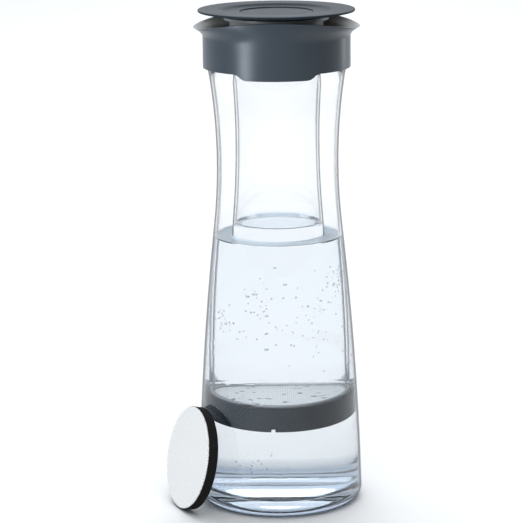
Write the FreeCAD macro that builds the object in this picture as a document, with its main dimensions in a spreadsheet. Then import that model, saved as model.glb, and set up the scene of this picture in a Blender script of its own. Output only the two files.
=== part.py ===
import FreeCAD, Part
import math
import os
import re

import Sketcher

V = FreeCAD.Vector
UP = V(0, 0, 1)
TURN_LEFT = 1
TURN_RIGHT = -1
FULL_TURN = 360
CUBIC_MM_PER_ML = 1000

# A filter carafe. A clear waisted vessel stands on the table. A graphite collar with two spouts sits on
# its mouth and carries a clear tube, and a ring at the tube's foot holds a filter disc. Tap water is
# poured into the tube, sinks through the disc and is poured out between tube and vessel, lid on.
# The origin is the middle of the foot, +Z is up, the tab of the collar faces -Y and the spouts face X.
# Lengths are in millimetres and angles in degrees.
SIZES = {
    # Clear vessel
    "carafe_base_radius": 50.35,
    "carafe_wall": 1.6,
    "carafe_waist_radius": 36.55,
    "carafe_waist_height": 209.0,
    "carafe_waist_arc": 340.0,
    "carafe_body_arc": 1955.0,
    "carafe_rim_height": 268.6,
    "carafe_heel_fillet": 7.5,
    "carafe_foot_width": 6.85,
    "carafe_punt_height": 4.5,
    "carafe_floor_thickness": 6.5,
    "carafe_floor_crown": 2.0,
    "carafe_floor_fillet": 7.0,
    # Gap between pieces that part from each other, and how far a cut runs past what it cuts
    "seat_gap": 0.3,
    "overrun": 2.0,
    # Pouring collar
    "collar_clearance": 0.5,
    "collar_wall": 1.6,
    "collar_skirt": 3.0,
    "collar_tab_drop": 3.4,
    "collar_tab_flat_half_width": 17.4,
    "collar_tab_flank": 8.6,
    "collar_ledge_width": 3.7,
    "collar_ledge_thickness": 1.6,
    "collar_throat": 12.0,
    "collar_spout_reach": 5.5,
    "collar_spout_rise": 5.7,
    "collar_rim_rise": 6.1,
    # Soft ring between collar and vessel
    "collar_seal_thickness": 1.2,
    "collar_seal_depth": 2.4,
    "collar_seal_wall": 1.2,
    # Ring on ribs that carries the tube
    "hub_fit": 0.2,
    "hub_wall": 1.6,
    "hub_skirt": 1.0,
    "hub_rise": 9.0,
    "hub_stop_drop": 1.0,
    "hub_stop_thickness": 1.4,
    "hub_seat_width": 3.0,
    "hub_seat_thickness": 2.0,
    "hub_rib_thickness": 2.0,
    "hub_rib_height": 6.0,
    "hub_rib_count": 4,
    "hub_rib_bearing": 45.0,
    # Clear tube
    "tube_wall": 1.5,
    "tube_neck_gap": 9.85,
    "tube_waist_drop": 50.0,
    "tube_waist_arc": 500.0,
    "tube_body_arc": 1329.0,
    "tube_ring_thickness": 0.5,
    "tube_ring_tail": 0.9,
    "tube_bead_drop": 2.0,
    "tube_bead_height": 1.6,
    "tube_bead_depth": 0.4,
    "tube_fit": 0.2,
    "tube_flange_thickness": 1.5,
    "tube_flange_inset": 0.6,
    # Snap lugs under the tube's foot
    "lug_count": 3,
    "lug_width": 7.4,
    "lug_depth": 4.2,
    "lug_thickness": 1.5,
    "lug_clearance": 0.25,
    # Ring that holds the disc
    "cage_lift": 39.5,
    "cage_pass_clearance": 0.45,
    "cage_wall": 3.25,
    "cage_height": 15.0,
    "cage_skirt_wall": 2.2,
    "cage_ledge_width": 1.4,
    "cage_ledge_thickness": 1.5,
    "cage_edge_fillet": 0.5,
    "cage_notch_width": 2.2,
    "cage_notch_height": 1.8,
    "cage_notch_offset": 3.6,
    "cage_seal_thickness": 0.6,
    "cage_seal_width": 2.0,
    # Openwork floor of the ring
    "grid_thickness": 2.0,
    "grid_rim_width": 2.0,
    "grid_hub_radius": 4.0,
    "grid_hoop_radius": 16.5,
    "grid_hoop_width": 1.8,
    "grid_rib_width": 1.6,
    "grid_window_count": 12,
    # Filter disc, one in the ring and one beside the vessel
    "disc_clearance": 0.25,
    "disc_thickness": 6.5,
    "disc_mesh_thickness": 0.3,
    "disc_mesh_inset": 0.2,
    "disc_mesh_fillet": 0.2,
    "disc_band_wall": 1.4,
    "spare_lean": 12.5,
    "spare_bearing": 23.5,
    # Lid
    "lid_radius": 46.6,
    "lid_edge": 1.2,
    "lid_hover": 3.0,
    "lid_dish": 0.5,
    "lid_step_radius": 31.6,
    "lid_step_slope": 0.8,
    "lid_step_drop": 0.7,
    "lid_cap_radius": 21.6,
    "lid_cap_clearance": 0.2,
    "lid_cap_drop": 0.6,
    "lid_cap_thickness": 1.2,
    "lid_cap_fillet": 0.35,
    "lid_shelf_width": 3.0,
    "lid_shelf_thickness": 1.2,
    "plug_clearance": 0.5,
    "plug_wall": 2.4,
    "plug_flange_width": 3.3,
    "plug_flange_thickness": 1.6,
    "lid_seal_section": 0.85,
    "lid_seal_lift": 3.6,
    "lid_seal_slack": 0.15,
}

# The spout's outline from the collar's wall to its tip: how far up and how far out, and the reach that
# the same surface would have at the crown of the rim, where the arch has cut it away.
SPOUT_RISE_SHARES = (0.4, 0.7, 1.0)
SPOUT_REACH_SHARES = (0.15, 0.5, 1.0)
SPOUT_CROWN_REACH_SHARE = 1.7

# How much of an edge's thickness its rounding takes on each side.
LIP_ROUND_SHARE = 0.44
LID_ROUND_SHARE = 0.375


def waisted(piece):
    """Formulas of a wall that bulges from its base and is drawn in above, in two arcs that meet in line."""
    formulas = {
        "across": "PIECE_waist_radius + PIECE_waist_arc - PIECE_base_radius",
        "rise": "PIECE_waist_height - PIECE_base_height",
        "span": "sqrt(PIECE_across^2 + PIECE_rise^2)",
        "along": "(PIECE_span^2 - PIECE_waist_arc * (PIECE_waist_arc + 2 * PIECE_body_arc))"
                 " / (2 * PIECE_span)",
        "aside": "sqrt(PIECE_body_arc^2 - PIECE_along^2)",
        "centre_across": "PIECE_base_radius"
                         " + (PIECE_across * PIECE_along - PIECE_rise * PIECE_aside) / PIECE_span",
        "centre_up": "PIECE_base_height"
                     " + (PIECE_rise * PIECE_along + PIECE_across * PIECE_aside) / PIECE_span",
        "cosine": "(PIECE_waist_radius + PIECE_waist_arc - PIECE_centre_across)"
                  " / (PIECE_waist_arc + PIECE_body_arc)",
        "sine": "(PIECE_waist_height - PIECE_centre_up) / (PIECE_waist_arc + PIECE_body_arc)",
        "shoulder_radius": "PIECE_centre_across + PIECE_body_arc * PIECE_cosine",
        "shoulder_height": "PIECE_centre_up + PIECE_body_arc * PIECE_sine",
        "inner_shoulder_radius": "PIECE_shoulder_radius - PIECE_wall * PIECE_cosine",
        "inner_shoulder_height": "PIECE_shoulder_height - PIECE_wall * PIECE_sine",
    }
    return {f"{piece}_{name}": text.replace("PIECE", piece) for name, text in formulas.items()}


def waist_radius_at(piece, height, inset="0"):
    """Radius of the drawn-in arc of a waisted wall at a height, or of a surface set in from it."""
    return (f"{piece}_waist_radius + {piece}_waist_arc"
            f" - sqrt(({piece}_waist_arc + {inset})^2 - ({height} - {piece}_waist_height)^2)")


def body_radius_at(piece, height, inset="0"):
    """Radius of the bulging arc of a waisted wall at a height, or of a surface set in from it."""
    return (f"{piece}_centre_across"
            f" + sqrt(({piece}_body_arc - {inset})^2 - ({height} - {piece}_centre_up)^2)")


# Places and sizes that follow from the ones above, in the order in which the pieces carry each other.
FITS = {
    "carafe_base_height": "0",
    **waisted("carafe"),
    "carafe_rim_radius": waist_radius_at("carafe", "carafe_rim_height"),
    "lip_top": "carafe_waist_height + (carafe_waist_arc + carafe_wall)"
               " * (carafe_rim_height - carafe_waist_height) / carafe_waist_arc",
    "carafe_lip_bore": waist_radius_at("carafe", "lip_top", "carafe_wall"),
    "carafe_lip_fillet": f"{LIP_ROUND_SHARE} * carafe_wall",
    "carafe_punt_radius": "carafe_base_radius - carafe_heel_fillet - carafe_foot_width",
    "carafe_floor_height": "carafe_punt_height + carafe_floor_thickness",
    "carafe_floor_edge_height": "carafe_floor_height - carafe_floor_crown",
    "carafe_floor_radius": body_radius_at("carafe", "carafe_floor_edge_height", "carafe_wall"),
    "carafe_floor_arc": "(carafe_floor_radius^2 + carafe_floor_crown^2) / (2 * carafe_floor_crown)",
    "carafe_punt_arc": "(carafe_punt_radius^2 + carafe_punt_height^2) / (2 * carafe_punt_height)",
    "carafe_neck_bore": "carafe_waist_radius - carafe_wall",
    "seal_seat": "lip_top + seat_gap",
    "seal_top": "seal_seat + collar_seal_thickness",
    "seal_foot": "lip_top - collar_seal_depth",
    "seal_foot_radius": waist_radius_at("carafe", "seal_foot", "carafe_wall") + " - seat_gap",
    "seal_neck_radius": "carafe_lip_bore - seat_gap",
    "collar_bore": "carafe_rim_radius + collar_clearance",
    "collar_radius": "collar_bore + collar_wall",
    "collar_ledge_bore": "collar_bore - collar_ledge_width",
    "collar_skirt_bottom": "lip_top - collar_skirt",
    "collar_tab_bottom": "collar_skirt_bottom - collar_tab_drop",
    "collar_tab_half_width": "collar_tab_flat_half_width + collar_tab_flank",
    "collar_tab_arc": "(collar_tab_flank^2 + collar_tab_drop^2) / (4 * collar_tab_drop)",
    "hub_seat": "seal_top + collar_ledge_thickness",
    "spout_start": "hub_seat + collar_throat",
    "spout_tip": "collar_radius + collar_spout_reach",
    "crown": "spout_start + collar_spout_rise + collar_rim_rise",
    "spout_top": "crown + overrun",
    "collar_arch_radius": "(spout_tip^2 + collar_rim_rise^2) / (2 * collar_rim_rise)",
    "arch_half_width": f"collar_radius + {SPOUT_CROWN_REACH_SHARE} * collar_spout_reach + overrun",
    "arch_foot": "crown - collar_arch_radius + sqrt(collar_arch_radius^2 - arch_half_width^2)",
    "cage_radius": "carafe_neck_bore - cage_pass_clearance",
    "cage_bore": "cage_radius - cage_wall",
    "cage_bottom": "carafe_floor_height + cage_lift",
    "cage_top": "cage_bottom + cage_height",
    "cage_seal_top": "cage_top + cage_seal_thickness",
    "disc_radius": "cage_bore - disc_clearance",
    "tube_top": "hub_seat - hub_stop_drop",
    "tube_base_height": "cage_seal_top + seat_gap",
    "tube_base_radius": "cage_bore",
    "tube_waist_height": "tube_top - tube_waist_drop",
    "tube_waist_radius": "carafe_neck_bore - tube_neck_gap",
    **waisted("tube"),
    "tube_foot_bore": body_radius_at("tube", "tube_base_height", "tube_wall"),
    "tube_flange_radius": "cage_radius - tube_flange_inset",
    "tube_flange_top": "tube_base_height + tube_flange_thickness",
    "tube_flange_neck": body_radius_at("tube", "tube_flange_top"),
    "tube_bead_top": "tube_top - tube_bead_drop",
    "tube_bead_bottom": "tube_bead_top - tube_bead_height",
    "tube_ring_bottom": "tube_bead_bottom - tube_ring_tail",
    "tube_ring_neck": waist_radius_at("tube", "tube_ring_bottom"),
    "tube_ring_radius": waist_radius_at("tube", "tube_top") + " + tube_ring_thickness",
    "tube_top_bore": waist_radius_at("tube", "tube_top", "tube_wall"),
    "tube_bead_radius": "tube_ring_radius + tube_bead_depth",
    "hub_bore": "tube_ring_radius + tube_fit",
    "hub_radius": "hub_bore + hub_wall",
    "hub_bottom": "tube_ring_bottom - hub_skirt",
    "hub_top": "hub_seat + hub_rise",
    "hub_stop_top": "tube_top + hub_stop_thickness",
    "hub_groove_radius": "tube_bead_radius + tube_fit",
    "hub_seat_radius": "collar_bore - hub_fit",
    "hub_seat_bore": "hub_seat_radius - hub_seat_width",
    "disc_seat": "cage_top - disc_thickness",
    "cage_ledge_top": "disc_seat - grid_thickness",
    "cage_ledge_bottom": "cage_ledge_top - cage_ledge_thickness",
    "cage_ledge_bore": "cage_bore - cage_ledge_width",
    "cage_skirt_bore": "cage_radius - cage_skirt_wall",
    "lug_inner": "disc_radius + 2 * lug_clearance",
    "lug_outer": "lug_inner + lug_thickness",
    "lug_bottom": "tube_base_height - lug_depth",
    "grid_radius": "cage_bore - disc_clearance",
    "grid_window_turn": "180 / grid_window_count",
    "disc_mesh_radius": "disc_radius - disc_mesh_inset",
    "disc_band_bore": "disc_radius - disc_band_wall",
    "disc_top_mesh_base": "disc_thickness - disc_mesh_thickness",
    "lid_edge_fillet": f"{LID_ROUND_SHARE} * lid_edge",
    "lid_edge_bottom": "crown + lid_hover",
    "lid_edge_top": "lid_edge_bottom + lid_edge",
    "lid_step_top": "lid_edge_top - lid_dish",
    "lid_step_bottom": "lid_step_top - lid_step_drop",
    "lid_cap_top": "lid_step_bottom - lid_cap_drop",
    "lid_cap_seat": "lid_cap_top - lid_cap_thickness",
    "lid_underside": "lid_cap_seat - lid_shelf_thickness",
    "lid_hole_radius": "lid_cap_radius + lid_cap_clearance",
    "lid_shelf_bore": "lid_hole_radius - lid_shelf_width",
    "plug_radius": "hub_bore - plug_clearance",
    "plug_bore": "plug_radius - plug_wall",
    "plug_flange_radius": "plug_radius + plug_flange_width",
    "plug_flange_bottom": "lid_underside - plug_flange_thickness",
    "lid_seal_height": "hub_stop_top + lid_seal_lift",
    "lid_seal_radius": "hub_bore - seat_gap - lid_seal_section",
    "lid_seal_half_height": "lid_seal_section + lid_seal_slack",
    "plug_groove_radius": "lid_seal_radius - lid_seal_section",
    "plug_groove_top": "lid_seal_height + lid_seal_half_height",
    "plug_groove_bottom": "lid_seal_height - lid_seal_half_height",
}


def bound(text):
    """The same formula with each size and fit named by the sheet that holds it."""
    def named(word):
        name = word.group(0)
        sheet = "Sizes." if name in SIZES else "Fits." if name in FITS else ""
        return sheet + name

    return re.sub(r"[a-z]\w*", named, text)


def value(text):
    """What a formula comes to."""
    return float(fits_sheet.evalExpression(bound(text)))


def filled_sheet(name, cells):
    """A sheet with one aliased cell for each entry."""
    sheet = doc.addObject("Spreadsheet::Sheet", name)
    for row, (alias, content) in enumerate(cells.items(), 1):
        sheet.set(f"A{row}", alias)
        sheet.set(f"B{row}", str(content))
        sheet.setAlias(f"B{row}", alias)
    doc.recompute()
    return sheet


def new_body(label):
    """An empty sub-part."""
    body = doc.addObject("PartDesign::Body", label)
    body.Label = label
    return body


def origin_feature(body, role):
    """One of a body's own origin planes or axes."""
    return next(feature for feature in body.Origin.OriginFeatures if feature.Role == role)


def new_sketch(body, name, plane, height="0", bearing="0"):
    """An empty sketch on a plane of its body, lifted by a height and turned by a bearing."""
    sketch = body.newObject("Sketcher::SketchObject", f"{body.Label}_{name}")
    sketch.AttachmentSupport = [(origin_feature(body, plane), "")]
    sketch.MapMode = "FlatFace"
    sketch.AttachmentOffset = FreeCAD.Placement(V(0, 0, 0), FreeCAD.Rotation(UP, value(bearing)))
    if height != "0":
        sketch.setExpression("AttachmentOffset.Base.z", bound(height))
    return sketch


def constrain(sketch, text, kind, *places):
    """A driving size of a sketch, tied to a formula."""
    number = sketch.addConstraint(Sketcher.Constraint(kind, *places, value(text)))
    sketch.setExpression(f"Constraints[{number}]", bound(text))


def place_corner(sketch, edge, end, across, up):
    """Hold the end of an edge at a place, on an axis where that is zero."""
    for kind, axis, text in (("DistanceX", -2, across), ("DistanceY", -1, up)):
        if text == "0":
            sketch.addConstraint(Sketcher.Constraint("PointOnObject", edge, end, axis))
        else:
            constrain(sketch, text, kind, -1, 1, edge, end)


def arc_between(start, end, radius, turn):
    """The short arc from one point to another that turns left or right on its way."""
    chord = end - start
    rise = math.sqrt(radius ** 2 - (chord.Length / 2) ** 2)
    centre = (start + end) / 2 + UP.cross(chord).normalize() * rise * turn
    first, last = (start, end) if turn == TURN_LEFT else (end, start)
    opening = math.atan2(first.y - centre.y, first.x - centre.x)
    closing = math.atan2(last.y - centre.y, last.x - centre.x)
    if closing < opening:
        closing += math.tau
    return Part.ArcOfCircle(Part.Circle(centre, UP, radius), opening, closing)


def draw_loop(sketch, corners):
    """A closed outline. A corner is (across, up), and with (radius, turn) too an arc leaves it."""
    points = [V(value(corner[0]), value(corner[1]), 0) for corner in corners]
    edges = []
    for corner, start, end in zip(corners, points, points[1:] + points[:1]):
        if len(corner) == 2:
            edges.append((sketch.addGeometry(Part.LineSegment(start, end)), 1, 2))
            continue
        radius, turn = corner[2:]
        edge = sketch.addGeometry(arc_between(start, end, value(radius), turn))
        edges.append((edge, 1, 2) if turn == TURN_LEFT else (edge, 2, 1))
    for corner, this, last in zip(corners, edges, edges[-1:] + edges[:-1]):
        sketch.addConstraint(Sketcher.Constraint("Coincident", last[0], last[2], this[0], this[1]))
        place_corner(sketch, this[0], this[1], corner[0], corner[1])
        if len(corner) > 2:
            constrain(sketch, corner[2], "Radius", this[0])


def mirrored(corners):
    """The same outline on the other side of the upright axis."""
    flipped = []
    for across, up, *arc in corners:
        if arc:
            radius, turn = arc
            arc = (radius, -turn)
        flipped.append((f"-({across})", up, *arc))
    return flipped


def rectangle(left, right, bottom, top):
    """The corners of a rectangle."""
    return [(left, bottom), (right, bottom), (right, top), (left, top)]


def revolve(body, name, corners):
    """Turn an outline in the XZ plane once round the upright axis."""
    sketch = new_sketch(body, f"{name}_section", "XZ_Plane")
    draw_loop(sketch, corners)
    turned = body.newObject("PartDesign::Revolution", f"{body.Label}_{name}")
    turned.Profile = sketch
    turned.ReferenceAxis = (sketch, ["V_Axis"])
    turned.Angle = FULL_TURN
    doc.recompute()
    return turned


def pad(body, name, sketch, length, downwards=False):
    """Raise a sketch by a length."""
    raised = body.newObject("PartDesign::Pad", f"{body.Label}_{name}")
    raised.Profile = sketch
    raised.setExpression("Length", bound(length))
    raised.Reversed = downwards
    doc.recompute()
    return raised


def pocket(body, name, sketch, length=None, forwards=False, both_ways=False):
    """Cut a sketch away, by a length or right through, and make sure that something went."""
    before = body.Shape.Volume
    cut = body.newObject("PartDesign::Pocket", f"{body.Label}_{name}")
    cut.Profile = sketch
    cut.Reversed = forwards
    if both_ways:
        cut.SideType = "Symmetric"
    if length is None:
        cut.Type = "ThroughAll"
    else:
        cut.setExpression("Length", bound(length))
    doc.recompute()
    if body.Shape.Volume >= before:
        raise RuntimeError(f"{cut.Name} cuts nothing")
    return cut


def repeat_round(body, name, feature, count):
    """Repeat a feature evenly round the upright axis."""
    pattern = body.newObject("PartDesign::PolarPattern", f"{body.Label}_{name}")
    pattern.Originals = [feature]
    pattern.Axis = (origin_feature(body, "Z_Axis"), [""])
    pattern.Angle = FULL_TURN
    pattern.setExpression("Occurrences", bound(count))
    body.Tip = pattern
    doc.recompute()
    return pattern


def round_edges(body, name, radius, circles):
    """Round the circular edges that have these radii at these heights."""
    base = body.Tip
    wanted = [(value(across), value(up)) for across, up in circles]
    edges = []
    for number, edge in enumerate(body.Shape.Edges, 1):
        if edge.Degenerated or not isinstance(edge.Curve, Part.Circle):
            continue
        found = (edge.Curve.Radius, edge.Curve.Center.z)
        if any(math.dist(found, place) < Part.Precision.approximation() for place in wanted):
            edges.append(f"Edge{number}")
    fillet = body.newObject("PartDesign::Fillet", f"{body.Label}_{name}")
    fillet.Base = (base, edges)
    fillet.setExpression("Radius", bound(radius))
    doc.recompute()
    return fillet


def make_carafe():
    """The vessel, one turned wall with a pushed-up foot, a soft heel and a rounded lip."""
    body = new_body("carafe")
    revolve(body, "wall", [
        ("carafe_punt_radius", "0"),
        ("carafe_base_radius", "0", "carafe_body_arc", TURN_LEFT),
        ("carafe_shoulder_radius", "carafe_shoulder_height", "carafe_waist_arc", TURN_RIGHT),
        ("carafe_rim_radius", "carafe_rim_height"),
        ("carafe_lip_bore", "lip_top", "carafe_waist_arc + carafe_wall", TURN_LEFT),
        ("carafe_inner_shoulder_radius", "carafe_inner_shoulder_height",
         "carafe_body_arc - carafe_wall", TURN_RIGHT),
        ("carafe_floor_radius", "carafe_floor_edge_height", "carafe_floor_arc", TURN_LEFT),
        ("0", "carafe_floor_height"),
        ("0", "carafe_punt_height", "carafe_punt_arc", TURN_RIGHT),
    ])
    round_edges(body, "heel", "carafe_heel_fillet", [("carafe_base_radius", "0")])
    round_edges(body, "floor", "carafe_floor_fillet", [("carafe_floor_radius", "carafe_floor_edge_height")])
    round_edges(body, "lip", "carafe_lip_fillet", [
        ("carafe_rim_radius", "carafe_rim_height"), ("carafe_lip_bore", "lip_top")])
    return body


def oval_sketch(body, name, height, half_width, half_depth):
    """A level oval, wider across the spouts."""
    sketch = new_sketch(body, name, "XY_Plane", height)
    wide, deep = value(half_width), value(half_depth)
    oval = sketch.addGeometry(Part.Ellipse(V(wide, 0, 0), V(0, deep, 0), V(0, 0, 0)))
    sketch.exposeInternalGeometry(oval)
    sketch.addConstraint(Sketcher.Constraint("Coincident", oval, 3, -1, 1))
    sketch.addConstraint(Sketcher.Constraint("PointOnObject", oval + 1, 1, -1))
    constrain(sketch, f"2 * ({half_width})", "Distance", oval + 1)
    constrain(sketch, f"2 * ({half_depth})", "Distance", oval + 2)
    return sketch


def circle_sketch(body, name, height, radius):
    """A level circle on the upright axis."""
    sketch = new_sketch(body, name, "XY_Plane", height)
    circle = sketch.addGeometry(Part.Circle(V(0, 0, 0), UP, value(radius)))
    sketch.addConstraint(Sketcher.Constraint("Coincident", circle, 3, -1, 1))
    constrain(sketch, radius, "Radius", circle)
    return sketch


def spout_loft(body, name, kind, radius):
    """The flare from the round wall into two spouts, through ovals that widen towards the tips."""
    heights = [f"spout_start + {share} * collar_spout_rise" for share in SPOUT_RISE_SHARES]
    heights.append("spout_top")
    reaches = SPOUT_REACH_SHARES + (SPOUT_CROWN_REACH_SHARE,)
    loft = body.newObject(kind, f"{body.Label}_{name}")
    loft.Profile = circle_sketch(body, f"{name}_root", "spout_start", radius)
    loft.Sections = [
        oval_sketch(body, f"{name}_oval_{number}", height, f"{radius} + {reach} * collar_spout_reach", radius)
        for number, (height, reach) in enumerate(zip(heights, reaches), 1)]
    body.Tip = loft
    doc.recompute()
    return loft


def cut_rim_arch(body):
    """Cut the collar's rim to an arch that is high at the front and back and low at the spouts."""
    sketch = new_sketch(body, "arch", "XZ_Plane")
    draw_loop(sketch, [
        ("-arch_half_width", "arch_foot", "collar_arch_radius", TURN_RIGHT),
        ("arch_half_width", "arch_foot"),
        ("arch_half_width", "spout_top + overrun"),
        ("-arch_half_width", "spout_top + overrun"),
    ])
    pocket(body, "rim", sketch, both_ways=True)


def cut_skirt_to_tab(body):
    """Shorten the collar's skirt all round but for the tab at the front, whose flanks are soft S curves."""
    outside = "collar_radius + overrun"
    below = "collar_tab_bottom - overrun"
    behind = new_sketch(body, "back_edge", "XZ_Plane")
    draw_loop(behind, rectangle(f"-({outside})", outside, below, "collar_skirt_bottom"))
    pocket(body, "back_skirt", behind)
    flank = [
        ("collar_tab_flat_half_width", below),
        (outside, below),
        (outside, "collar_skirt_bottom"),
        ("collar_tab_half_width", "collar_skirt_bottom", "collar_tab_arc", TURN_LEFT),
        ("collar_tab_flat_half_width + collar_tab_flank / 2", "collar_skirt_bottom - collar_tab_drop / 2",
         "collar_tab_arc", TURN_RIGHT),
        ("collar_tab_flat_half_width", "collar_tab_bottom"),
    ]
    front = new_sketch(body, "front_edge", "XZ_Plane")
    draw_loop(front, flank)
    draw_loop(front, mirrored(flank))
    pocket(body, "front_skirt", front, forwards=True)


def make_pour_collar():
    """The collar: a round skirt with an inner ledge, flared into two spouts under an arched rim."""
    body = new_body("pour_collar")
    revolve(body, "wall", [
        ("collar_bore", "collar_tab_bottom"),
        ("collar_radius", "collar_tab_bottom"),
        ("collar_radius", "spout_start"),
        ("collar_bore", "spout_start"),
        ("collar_bore", "hub_seat"),
        ("collar_ledge_bore", "hub_seat"),
        ("collar_ledge_bore", "seal_top"),
        ("collar_bore", "seal_top"),
    ])
    spout_loft(body, "spouts", "PartDesign::AdditiveLoft", "collar_radius")
    spout_loft(body, "hollow", "PartDesign::SubtractiveLoft", "collar_bore")
    cut_rim_arch(body)
    cut_skirt_to_tab(body)
    return body


def make_collar_seal():
    """The soft ring: a flange on the vessel's lip and a skirt that follows the inside of its neck."""
    body = new_body("collar_seal")
    revolve(body, "ring", [
        ("seal_foot_radius - collar_seal_wall", "seal_foot"),
        ("seal_foot_radius", "seal_foot"),
        ("seal_neck_radius", "seal_seat"),
        ("collar_bore", "seal_seat"),
        ("collar_bore", "seal_top"),
        ("seal_neck_radius - collar_seal_wall", "seal_top"),
    ])
    return body


def make_tube_hub():
    """The ring that the tube snaps into from below, on ribs from a hoop that lies on the collar's ledge."""
    body = new_body("tube_hub")
    revolve(body, "ring", [
        ("hub_bore", "hub_bottom"),
        ("hub_radius", "hub_bottom"),
        ("hub_radius", "hub_top"),
        ("hub_bore", "hub_top"),
        ("hub_bore", "hub_stop_top"),
        ("tube_top_bore", "hub_stop_top"),
        ("tube_top_bore", "tube_top"),
        ("hub_bore", "tube_top"),
        ("hub_bore", "tube_bead_top + tube_fit"),
        ("hub_groove_radius", "tube_bead_top + tube_fit"),
        ("hub_groove_radius", "tube_bead_bottom - tube_fit"),
        ("hub_bore", "tube_bead_bottom - tube_fit"),
    ])
    rib_sketch = new_sketch(body, "rib_plan", "XY_Plane", "hub_seat", "hub_rib_bearing")
    draw_loop(rib_sketch, rectangle("hub_radius - hub_wall / 2", "hub_seat_bore + hub_seat_width / 2",
                                    "-hub_rib_thickness / 2", "hub_rib_thickness / 2"))
    rib = pad(body, "rib", rib_sketch, "hub_rib_height")
    repeat_round(body, "ribs", rib, "hub_rib_count")
    revolve(body, "hoop", rectangle("hub_seat_bore", "hub_seat_radius", "hub_seat",
                                    "hub_seat + hub_seat_thickness"))
    return body


def make_filter_tube():
    """The clear tube: a beaded ring at its mouth, a drawn-in waist and a flange with snap lugs below."""
    body = new_body("filter_tube")
    revolve(body, "wall", [
        ("tube_foot_bore", "tube_base_height"),
        ("tube_flange_radius", "tube_base_height"),
        ("tube_flange_radius", "tube_flange_top"),
        ("tube_flange_neck", "tube_flange_top", "tube_body_arc", TURN_LEFT),
        ("tube_shoulder_radius", "tube_shoulder_height", "tube_waist_arc", TURN_RIGHT),
        ("tube_ring_neck", "tube_ring_bottom"),
        ("tube_ring_radius", "tube_ring_bottom"),
        ("tube_ring_radius", "tube_bead_bottom"),
        ("tube_bead_radius", "tube_bead_bottom"),
        ("tube_bead_radius", "tube_bead_top"),
        ("tube_ring_radius", "tube_bead_top"),
        ("tube_ring_radius", "tube_top"),
        ("tube_top_bore", "tube_top", "tube_waist_arc + tube_wall", TURN_LEFT),
        ("tube_inner_shoulder_radius", "tube_inner_shoulder_height",
         "tube_body_arc - tube_wall", TURN_RIGHT),
    ])
    lug_sketch = new_sketch(body, "lug_plan", "XY_Plane", "tube_base_height")
    draw_loop(lug_sketch, rectangle("lug_inner", "lug_outer", "-lug_width / 2", "lug_width / 2"))
    lug = pad(body, "lug", lug_sketch, "lug_depth", downwards=True)
    repeat_round(body, "lugs", lug, "lug_count")
    return body


def make_cage_ring():
    """The ring round the disc, with a ledge, sockets for the tube's lugs and a notch to prise it off by."""
    body = new_body("cage_ring")
    revolve(body, "wall", [
        ("cage_skirt_bore", "cage_bottom"),
        ("cage_radius", "cage_bottom"),
        ("cage_radius", "cage_top"),
        ("cage_bore", "cage_top"),
        ("cage_bore", "cage_ledge_top"),
        ("cage_ledge_bore", "cage_ledge_top"),
        ("cage_ledge_bore", "cage_ledge_bottom"),
        ("cage_skirt_bore", "cage_ledge_bottom"),
    ])
    round_edges(body, "edges", "cage_edge_fillet", [
        ("cage_radius", "cage_bottom"), ("cage_radius", "cage_top")])
    socket_sketch = new_sketch(body, "socket_plan", "XY_Plane", "cage_top")
    draw_loop(socket_sketch, rectangle("disc_band_bore", "lug_outer + lug_clearance",
                                       "-lug_width / 2 - lug_clearance", "lug_width / 2 + lug_clearance"))
    socket = pocket(body, "socket", socket_sketch, "cage_top - lug_bottom + lug_clearance")
    repeat_round(body, "sockets", socket, "lug_count")
    notch_sketch = new_sketch(body, "notch_face", "XZ_Plane")
    draw_loop(notch_sketch, rectangle(
        "-cage_notch_offset - cage_notch_width / 2", "-cage_notch_offset + cage_notch_width / 2",
        "cage_bottom - overrun", "cage_bottom + cage_notch_height"))
    pocket(body, "notch", notch_sketch, forwards=True)
    return body


def window_corners(inner, outer):
    """A gap of the grid between two hoops, its sides parallel to the ribs beside it."""
    half_rib = "grid_rib_width / 2"
    corners = []
    for radius, turn in ((inner, TURN_RIGHT), (outer, TURN_LEFT)):
        along = f"sqrt(({radius})^2 - ({half_rib})^2)"
        low = (f"{along} * cos(grid_window_turn) + {half_rib} * sin(grid_window_turn)",
               f"{half_rib} * cos(grid_window_turn) - {along} * sin(grid_window_turn)")
        high = (low[0], f"-({low[1]})")
        corners += [high + (radius, turn), low] if turn == TURN_RIGHT else [low + (radius, turn), high]
    return corners


def make_cage_grid():
    """The openwork floor that the disc lies on: a hub, two rows of windows and a rim."""
    body = new_body("cage_grid")
    pad(body, "plate", circle_sketch(body, "plate_plan", "cage_ledge_top", "grid_radius"), "grid_thickness")
    rows = (("inner", "grid_hub_radius", "grid_hoop_radius - grid_hoop_width"),
            ("outer", "grid_hoop_radius", "grid_radius - grid_rim_width"))
    for name, inner, outer in rows:
        sketch = new_sketch(body, f"{name}_plan", "XY_Plane", "cage_ledge_top")
        draw_loop(sketch, window_corners(inner, outer))
        window = pocket(body, f"{name}_window", sketch, forwards=True)
        repeat_round(body, f"{name}_windows", window, "grid_window_count")
    return body


def make_cage_seal():
    """The flat ring between the disc and the tube's foot."""
    body = new_body("cage_seal")
    revolve(body, "ring", rectangle("disc_radius - cage_seal_width", "disc_radius",
                                    "cage_top", "cage_seal_top"))
    return body


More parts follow.
